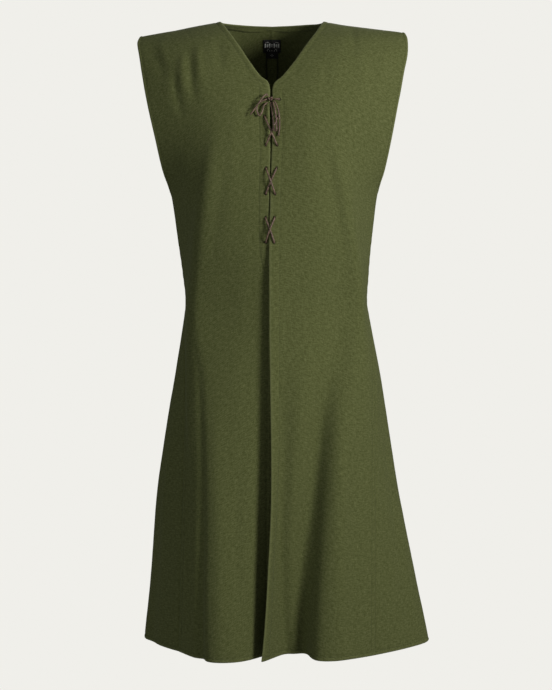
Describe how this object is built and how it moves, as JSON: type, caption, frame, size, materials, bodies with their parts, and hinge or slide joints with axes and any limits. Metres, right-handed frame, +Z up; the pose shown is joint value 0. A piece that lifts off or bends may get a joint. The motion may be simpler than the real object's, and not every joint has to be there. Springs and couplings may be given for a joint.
{
  "type": "medieval surcoat",
  "caption": "Sleeveless mid-calf woollen surcoat in its worn, hollow form, with a V neck laced over a front slit, long armholes, side gores and an overlapping open front.",
  "frame": {"origin": "base of the neck, midway between the two points where the shoulder seams meet the neckline", "axes": "+Z up, the garment's front faces -Y, the wearer's left is +X"},
  "size_m": [0.5071, 0.3113, 1.0811],
  "materials": {
    "wool": "olive-green brushed woollen twill, matte",
    "wool_inside": "the same wool, turned in at the back neck",
    "woven_label": null,
    "leather_lace": "thin brown leather thong, slightly glossy"
  },
  "bodies": {
    "root": {"front_left": "wool", "front_right": "wool", "back_left": "wool", "back_right": "wool", "gore_left": "wool", "gore_right": "wool", "neck_band": "wool_inside", "label": "woven_label", "size_tab": "woven_label", "lace": "leather_lace", "bow_knot": "leather_lace", "bow_loop_left": "leather_lace", "bow_loop_right": "leather_lace", "bow_end_left": "leather_lace", "bow_end_right": "leather_lace"}
  },
  "joints": []
}
